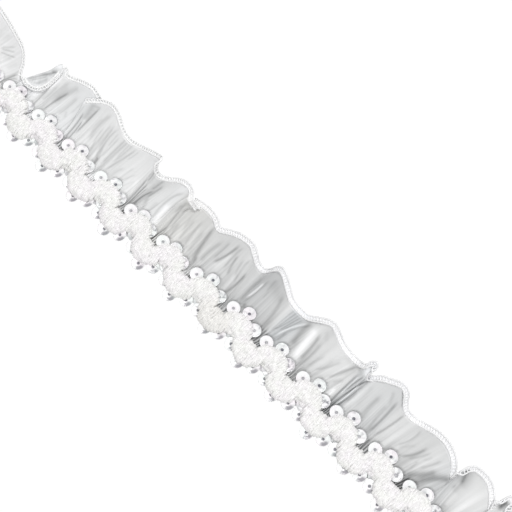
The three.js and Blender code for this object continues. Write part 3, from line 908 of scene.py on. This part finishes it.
def make_uneven_colour():
    """A node group: one colour wanders into another over a piece, with the noise that does it."""
    group = bpy.data.node_groups.new("uneven_colour", "ShaderNodeTree")
    for name, kind in (
        ("Place", "Vector"), ("Scale", "Float"), ("Detail", "Float"), ("From", "Float"),
        ("To", "Float"), ("First Colour", "Color"), ("Second Colour", "Color"),
    ):
        group.interface.new_socket(name, in_out="INPUT", socket_type="NodeSocket" + kind)
    for name, kind in (("Colour", "Color"), ("Noise", "Float")):
        group.interface.new_socket(name, in_out="OUTPUT", socket_type="NodeSocket" + kind)
    given = group.nodes.new("NodeGroupInput").outputs
    noise_node = group.nodes.new("ShaderNodeTexNoise")
    share = group.nodes.new("ShaderNodeMapRange")
    mix = mixed_colours(group.nodes)
    result = group.nodes.new("NodeGroupOutput").inputs
    for source, target in (
        (given["Place"], noise_node.inputs["Vector"]),
        (given["Scale"], noise_node.inputs["Scale"]),
        (given["Detail"], noise_node.inputs["Detail"]),
        (noise_node.outputs["Fac"], share.inputs["Value"]),
        (given["From"], share.inputs["From Min"]),
        (given["To"], share.inputs["From Max"]),
        (share.outputs["Result"], mix.inputs["Factor"]),
        (given["First Colour"], mix.inputs["A"]),
        (given["Second Colour"], mix.inputs["B"]),
        (mix.outputs["Result"], result["Colour"]),
        (noise_node.outputs["Fac"], result["Noise"]),
    ):
        group.links.new(source, target)
    return group


uneven_colour = make_uneven_colour()


def two_casts(nodes, links, place, scale, detail, first, second):
    """The group in a material, with two stops, each a level of its noise and a colour."""
    casts = nodes.new("ShaderNodeGroup")
    casts.node_tree = uneven_colour
    set_inputs(casts, {"Scale": scale, "Detail": detail, "From": first[0], "To": second[0]})
    set_inputs(casts, {"First Colour": (*first[1], 1), "Second Colour": (*second[1], 1)})
    links.new(place, casts.inputs["Place"])
    return casts.outputs


thread_white, nodes, links, shader = new_finish("white_thread", {"Roughness": 0.6})
thread_place = nodes.new("ShaderNodeTexCoord").outputs["Object"]
thread_casts = two_casts(
    nodes, links, thread_place, 350, 3, (0.35, (0.88, 0.88, 0.89)), (0.6, (0.93, 0.93, 0.935))
)
# The left half of the thread is the whiter one.
thread_spot = nodes.new("ShaderNodeSeparateXYZ")
links.new(thread_place, thread_spot.inputs["Vector"])
whiter = mixed_colours(nodes)
set_inputs(whiter, {"B": (0.95, 0.95, 0.95, 1)})
whiter_share = ranged(nodes, links, thread_spot.outputs["X"], (-10 * mm, -40 * mm))
links.new(whiter_share, whiter.inputs["Factor"])
links.new(thread_casts["Colour"], whiter.inputs["A"])
links.new(whiter.outputs["Result"], shader.inputs["Base Color"])
roughen(shader, nodes, links, thread_casts["Noise"], 0.3, 0.0001)
hem_thread = finish_curve(hem_curve, thread_white)
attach(hem_thread, "root")


# The braid. Thick soft yarn is knitted to and fro across the trim, so that its loops form round
# lobes along both sides, and the whole is sewn flat over the gathers.
waist_reach = 1.5
lobe_rise = 4.7
gap_share = 0.13
yarn_pitch = 0.8
yarn_radius = 0.64
yarn_step = 0.42


def lobe_dome(share):
    """A lobe's round outline: 0 in the narrow gaps beside it and 1 at its top."""
    inside = (share - gap_share) / (1 - 2 * gap_share)
    return math.sqrt(math.sin(math.pi * inside)) if 0 < inside < 1 else 0.0


def braid_edges(along):
    """How far the braid reaches to its lower and upper side."""
    all_gaps = np.concatenate([[gaps[0] - lobe_pitch], gaps, [gaps[-1] + lobe_pitch]])
    k = int(np.searchsorted(all_gaps, along, side="right")) - 1
    share = (along - all_gaps[k]) / (all_gaps[k + 1] - all_gaps[k])
    upper = waist_reach + lobe_rise * lobe_dome(share)
    lower = -waist_reach - lobe_rise * lobe_dome((share + 0.5) % 1)
    return lower, upper


def lumps(along, reach, size, layer):
    """Smooth unevenness over the braid, from -1 to 1, with lumps of a size."""
    return np.array([noise.noise(Vector((a / size, r / size, layer))) for a, r in zip(along, reach)])


# Each yarn climbs from under the lower side, over the middle and down under the upper side.
yarn_curve = thread_piece("braid_yarn", yarn_radius, 1)
for k in range(int(trim_length / yarn_pitch)):
    along = -trim_length / 2 + yarn_pitch * (k + 0.5)
    lower, upper = braid_edges(along)
    upper += chance.normal(0, 0.15)
    lower += chance.normal(0, 0.15)
    reach_stops = [lower + 0.4, lower, lower + 1.1, 0, upper - 1.2, upper, upper - 0.4]
    height_stops = np.array([0.7, 1.5, 2.6, 3.2, 3.0 + 0.1 * upper, 2.0 + 0.1 * upper, 1.4])
    stops = np.column_stack([np.full(7, along), reach_stops, height_stops - 0.7 * yarn_radius])
    lengths = run_at(step_lengths(stops))
    run = np.arange(0, lengths[-1], yarn_step)
    line = through(stops, np.interp(run, lengths, np.arange(7)))
    line[:, 0] += 0.6 * lumps(line[:, 0], line[:, 1], 2.4, 3.7)
    line[:, 2] += 0.4 * lumps(line[:, 0], line[:, 1], 1.3, 9.2) + chance.normal(0, 0.05)
    line[:, 1] += braid_line
    line[:, 2] = np.maximum(line[:, 2], yarn_radius)
    swell = 1 + 0.35 * lumps(np.full(len(run), 5.3 * k), run, 0.85, 0.4)
    lay_thread(yarn_curve, line, thickness=swell)

yarn_white, nodes, links, shader = new_finish(
    "white_yarn", {"Roughness": 0.95, "Specular IOR Level": 0.1}
)
yarn_place = nodes.new("ShaderNodeTexCoord").outputs["Object"]
yarn_casts = two_casts(
    nodes, links, yarn_place, 210, 2, (0.36, (0.873, 0.853, 0.865)), (0.64, (0.86, 0.86, 0.842))
)
# One lobe's yarn is creamier than the rest.
creamy_middle = (14.5, braid_line - 2.5, 2)
creamy_place = nodes.new("ShaderNodeVectorMath")
creamy_place.operation = "DISTANCE"
set_inputs(creamy_place, {1: Vector(creamy_middle) * mm})
links.new(yarn_place, creamy_place.inputs[0])
creamy = mixed_colours(nodes)
set_inputs(creamy, {"B": (0.82, 0.81, 0.79, 1)})
creamy_share = ranged(nodes, links, creamy_place.outputs["Value"], (5.5 * mm, 9 * mm), (1, 0))
links.new(creamy_share, creamy.inputs["Factor"])
links.new(yarn_casts["Colour"], creamy.inputs["A"])
# The fuzz is a fine bump, with painted shade in its hollows.
yarn_fuzz = nodes.new("ShaderNodeTexNoise")
set_inputs(yarn_fuzz, {"Scale": 900, "Detail": 2})
links.new(yarn_place, yarn_fuzz.inputs["Vector"])
fuzz_shaded = mixed_colours(nodes, "MULTIPLY")
fuzz_light = ranged(nodes, links, yarn_fuzz.outputs["Fac"], (0.3, 0.6), (0.9, 1.05))
links.new(creamy.outputs["Result"], fuzz_shaded.inputs["A"])
links.new(fuzz_light, fuzz_shaded.inputs["B"])
links.new(fuzz_shaded.outputs["Result"], shader.inputs["Base Color"])
roughen(shader, nodes, links, yarn_fuzz.outputs["Fac"], 0.4, 0.0003)
braid = finish_curve(yarn_curve, yarn_white)
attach(braid, "root")
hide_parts("spangled_braid")


# The spangles. Round pearly discs, a little cupped, each sewn down by a stitch through its hole
# and caught under the ends of the yarn, so that its outer half stands out of the lobe.
spangle_radius = 2.5
hole_radius = 0.5
upper_height = 1.75
lower_height = 0.75
waist_height = 1.0
least_gap = 0.2
speckle_scale = 1100
upper_spangles = [
    # along, reach
    (-131.8, 5.2), (-126.6, 4.6), (-119.8, 5), (-114.3, 7.2), (-108.6, 4.8), (-102.2, 5.2),
    (-97.6, 6.8), (-91.5, 4.4), (-85.9, 5.1), (-81, 6.9), (-75.1, 4.5), (-69.3, 5.1), (-64, 7.2),
    (-58, 4.7), (-51.6, 5.2), (-45.8, 7.2), (-40.7, 4.6), (-34.6, 4.4), (-29.6, 6.2), (-24.1, 4),
    (-17.9, 4.6), (-12.7, 6), (-7.4, 4), (-0.7, 4.9), (5, 7.5), (11, 4.9), (17.3, 5.6),
    (22.8, 8.1), (28.2, 5.2), (34.2, 5.2), (39.9, 7.3), (45.1, 4.9), (52, 5.4), (57.8, 7.6),
    (62.5, 4.7), (68.3, 5.2), (74, 7.9), (79.5, 4.9), (86.3, 5.5), (91.8, 7.6), (97, 4.4),
    (103.1, 4.6), (109, 6.9), (114.5, 4.6), (120.4, 5.1), (126, 7.2), (131.6, 4.8),
]
lower_spangles = [
    (-127.6, -4.4), (-122.2, -6.6), (-116.6, -4.6), (-110.5, -4.3), (-105, -6.8), (-99.6, -4.5),
    (-93.4, -4.2), (-86.9, -6.6), (-81.6, -3.9), (-75.6, -4.2), (-70.6, -6.9), (-65.1, -4.3),
    (-58.8, -4.1), (-54, -6.6), (-48.8, -4.3), (-42.6, -4.4), (-36.6, -7), (-31, -4.5),
    (-24.4, -4.3), (-18.6, -7), (-13.9, -4.2), (-7.3, -4.2), (-2.5, -6.9), (3.1, -4.1), (8.9, -3.7),
    (14.9, -6.2), (19.8, -4.2), (25.7, -3.8), (31.7, -6.4), (36.8, -4), (42.7, -4), (48.1, -6.4),
    (54.3, -4.2), (59.7, -4.3), (65.7, -6.9), (71.4, -4.4), (76.7, -4), (82.9, -6.2), (88.4, -4.1),
    (93.4, -4.5), (99.4, -7), (105, -4.4), (111.4, -4.3), (116.9, -6.7), (122.6, -4.5),
    (128.5, -4.4), (134, -6.5),
]

one_spangle = bmesh.new()
section = [
    # radius, height
    (0.0, 0.0), (hole_radius, 0.0), (hole_radius + 0.12, 0.22), (1.4, 0.27), (2.2, 0.42),
    (spangle_radius, 0.58), (spangle_radius, 0.46), (2.2, 0.3), (1.4, 0.15), (0.0, -0.1),
]
outline = [one_spangle.verts.new((r * mm, 0, z * mm)) for r, z in section]
spun = outline + [one_spangle.edges.new(pair) for pair in zip(outline, outline[1:])]
bmesh.ops.spin(
    one_spangle, geom=spun, cent=(0, 0, 0), axis=(0, 0, 1), angle=2 * math.pi, steps=20, use_merge=True
)
bmesh.ops.remove_doubles(one_spangle, verts=one_spangle.verts, dist=1e-6)
bmesh.ops.recalc_face_normals(one_spangle, faces=one_spangle.faces)
one_data = finished_mesh("one_spangle", one_spangle)
all_spangles = bmesh.new()
shine = []


def set_spangle(place, leans, lights, shaded_side, shaded_band):
    """Lays one spangle in its place, leaning, and notes how light each point of it is, with painted
    shade in its hole and on one side of its rim.
    """
    body, hole_shade, shade, speckle = lights
    before = len(all_spangles.verts)
    all_spangles.from_mesh(one_data)
    all_spangles.verts.ensure_lookup_table()
    fresh = all_spangles.verts[before:]
    for vert in fresh:
        from_middle = vert.co.xy.length / mm
        side = (vert.co.x * shaded_side[0] + vert.co.y * shaded_side[1]) / mm
        if from_middle < hole_radius + 0.05:
            shine.append(hole_shade)
        elif shaded_band[0] < from_middle < shaded_band[1]:
            shine.append(body - shade * min(1, max(side / from_middle * 3 - 1.6, 0)))
        else:
            marks = noise.noise(vert.co * speckle_scale + Vector((place[0], place[1], 0)))
            shine.append(body - speckle * max(marks, 0))
    for angle, axis in zip(leans, "YX"):
        lean = Matrix.Rotation(angle, 3, axis)
        bmesh.ops.rotate(all_spangles, verts=fresh, cent=(0, 0, 0), matrix=lean)
    move = Vector((place[0], braid_line + place[1], place[2])) * mm
    bmesh.ops.translate(all_spangles, verts=fresh, vec=move)


# The left upper one of each lobe is the lightest. The middle one has the darkest painted shade in its
# hole and along its outer rim.
upper_lights = [
    # body, painted hole shade, painted rim shade, speckle: the middle, the right and the left one of a
    # lobe
    (0.92, 0.1, 0.8, 0.5),
    (0.93, 0.45, 0.4, 1.2),
    (0.97, 0.4, 0.5, 0.1),
]
spangle_underside = ([0, 0.6, 1.4, 2.2, spangle_radius], [-0.1, -0.1, 0.15, 0.3, 0.46])
for k, (along, reach) in enumerate(upper_spangles):
    leans = chance.normal((0, -0.08), (0.06, 0.05))
    # It lies on the gathers, clear of the cloth that rises under its outer half.
    beside = np.hypot(cloth[..., 0] - along, cloth[..., 1] - reach)
    cloth_under = cloth[..., 2] - np.interp(beside, *spangle_underside)
    height = max(upper_height, cloth_under[beside < spangle_radius + 0.1].max() + least_gap)
    set_spangle((along, reach, height), leans, upper_lights[k % 3], (0.1, 1), (2.3, 3))
# The lower ones are white, with painted shade in the hole and a crescent of painted shade on the side
# out and along the trim.
for along, reach in lower_spangles:
    leans = chance.normal((0.08, 0.1), (0.08, 0.08))
    set_spangle((along, reach, lower_height), leans, (1, 0.2, 0.66, 0), (0.85, -0.53), (1.3, 2.3))
for k in range(1, len(gaps)):
    # Two more lie in each waist, almost covered, and show only as a grey band: they are painted
    # darker, as shade under the braid.
    for side in (-1.3, 1.3):
        waist_place = ((gaps[k - 1] + gaps[k]) / 2 + side, -0.8, waist_height + side / 8)
        leans = chance.normal((0, 0.2), (0.05, 0.08))
        set_spangle(waist_place, leans, (0.85, 0.3, 0.25, 0), (0, -1), (1.3, 2.3))
# Each upper one presses on the satin, and a thin line of shade lies along its outer side.
for along, reach in upper_spangles:
    from_centre = seen_place(cloth) - seen_place(np.array([along, reach, 2.2]))
    from_rim = np.linalg.norm(from_centre, axis=2) - (spangle_radius + 0.2)
    rim_shade = (0.28 if along > -20 else 0.16) * np.exp(-((from_rim / 0.3) ** 2))
    tone *= 1 - rim_shade * np.clip(from_centre[..., 1] / 2 + 0.3, 0, 1)
note(ruffle.data, "tone", tone[row, column] / brightest_tone)
spangle_data = finished_mesh("spangles", all_spangles)
note(spangle_data, "shine", shine)
spangle_data.shade_smooth()
spangles = put_in_scene("spangles", spangle_data)

pearl, nodes, links, shader = new_finish("pearl", {"Roughness": 0.22, "Coat Weight": 0.3})
pearl_place = nodes.new("ShaderNodeTexCoord").outputs["Object"]
pearl_casts = two_casts(
    nodes, links, pearl_place, 220, 2, (0.35, (0.96, 0.92, 0.95)), (0.65, (0.93, 0.96, 0.95))
)
# Each spangle's colour is mixed toward near black where its noted lightness is low: its painted shade
# at the hole and rim, its speckle, and its darker body.
pearl_shaded = mixed_colours(nodes)
set_inputs(pearl_shaded, {"A": (0.04, 0.04, 0.07, 1)})
links.new(noted(nodes, "shine"), pearl_shaded.inputs["Factor"])
links.new(pearl_casts["Colour"], pearl_shaded.inputs["B"])
links.new(pearl_shaded.outputs["Result"], shader.inputs["Base Color"])
spangles.data.materials.append(pearl)
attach(spangles, "root")
